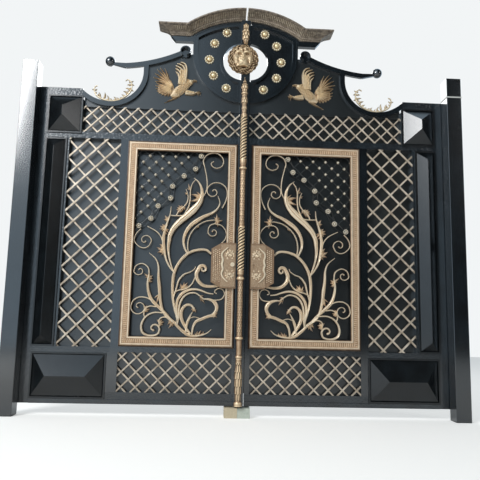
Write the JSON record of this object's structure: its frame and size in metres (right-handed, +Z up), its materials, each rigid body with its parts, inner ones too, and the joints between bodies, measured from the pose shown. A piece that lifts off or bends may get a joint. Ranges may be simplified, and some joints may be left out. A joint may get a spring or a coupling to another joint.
{
  "type": "double leaf driveway gate",
  "caption": "Double swing driveway gate of steel and gilt ironwork on two square posts, with lattice fields, scroll panels and an arched crest.",
  "frame": {"origin": "middle of the left post's foot, on the ground", "axes": "+X along the gate towards the right post, +Y away from the front, where the leaves open, +Z up"},
  "size_m": [3.44, 0.196, 3.184],
  "materials": {
    "dark_painted_steel": "gloss",
    "hammered_steel": "hammered gloss",
    "grey_sheet": "satin",
    "champagne_bars": "satin",
    "copper_gold_moulding": "satin metallic",
    "rose_gold_scrolls": "satin metallic",
    "antique_gold_castings": "gilded, darkened in the hollows",
    "antique_bronze_cornice": "antique metallic",
    "antique_brass_pole": "antique",
    "bare_hinge_steel": "dull",
    "pale_stone": "matt",
    "pale_strap": "matt"
  },
  "bodies": {
    "posts": {"left_post": "dark_painted_steel", "right_post": "dark_painted_steel", "right_post_strap": "pale_strap", "stop_blocks": "pale_stone", "left_post_hinges": "bare_hinge_steel", "right_post_hinges": "bare_hinge_steel"},
    "left_leaf": {"left_outer_stiles": "hammered_steel", "left_mid_stile": "dark_painted_steel", "left_closing_stile": "dark_painted_steel", "left_lower_rails": "hammered_steel", "left_upper_rails": "hammered_steel", "left_sheets": "grey_sheet", "left_crest_rails": "dark_painted_steel", "left_disc": "dark_painted_steel", "left_rosettes": "antique_gold_castings", "left_cornice": "antique_bronze_cornice", "left_eagle": "antique_gold_castings", "left_leaf_spray": "antique_gold_castings", "left_lattices": "champagne_bars", "left_panels": "dark_painted_steel", "left_gold_frame": "copper_gold_moulding", "left_scrollwork": "rose_gold_scrolls", "left_bud_lattice": "grey_sheet", "left_lock_box": "copper_gold_moulding", "left_leaf_hinges": "bare_hinge_steel", "centre_bar": "dark_painted_steel", "centre_pole": "antique_brass_pole", "lion_head": "antique_gold_castings"},
    "right_leaf": {"right_outer_stiles": "hammered_steel", "right_mid_stile": "dark_painted_steel", "right_closing_stile": "dark_painted_steel", "right_lower_rails": "hammered_steel", "right_upper_rails": "hammered_steel", "right_sheets": "grey_sheet", "right_crest_rails": "dark_painted_steel", "right_disc": "dark_painted_steel", "right_rosettes": "antique_gold_castings", "right_cornice": "antique_bronze_cornice", "right_eagle": "antique_gold_castings", "right_leaf_spray": "antique_gold_castings", "right_lattices": "champagne_bars", "right_panels": "dark_painted_steel", "right_gold_frame": "copper_gold_moulding", "right_scrollwork": "rose_gold_scrolls", "right_bud_lattice": "grey_sheet", "right_lock_box": "copper_gold_moulding", "right_leaf_hinges": "bare_hinge_steel"}
  },
  "joints": [
    {"name": "left_leaf_swing", "type": "hinge", "parent": "posts", "child": "left_leaf", "pos_m": [0.018, 0.084, 0], "axis": [0, 0, 1], "range_deg": [0, 95]},
    {"name": "right_leaf_swing", "type": "hinge", "parent": "posts", "child": "right_leaf", "pos_m": [3.304, 0.084, 0], "axis": [0, 0, -1], "range_deg": [0, 95]}
  ]
}
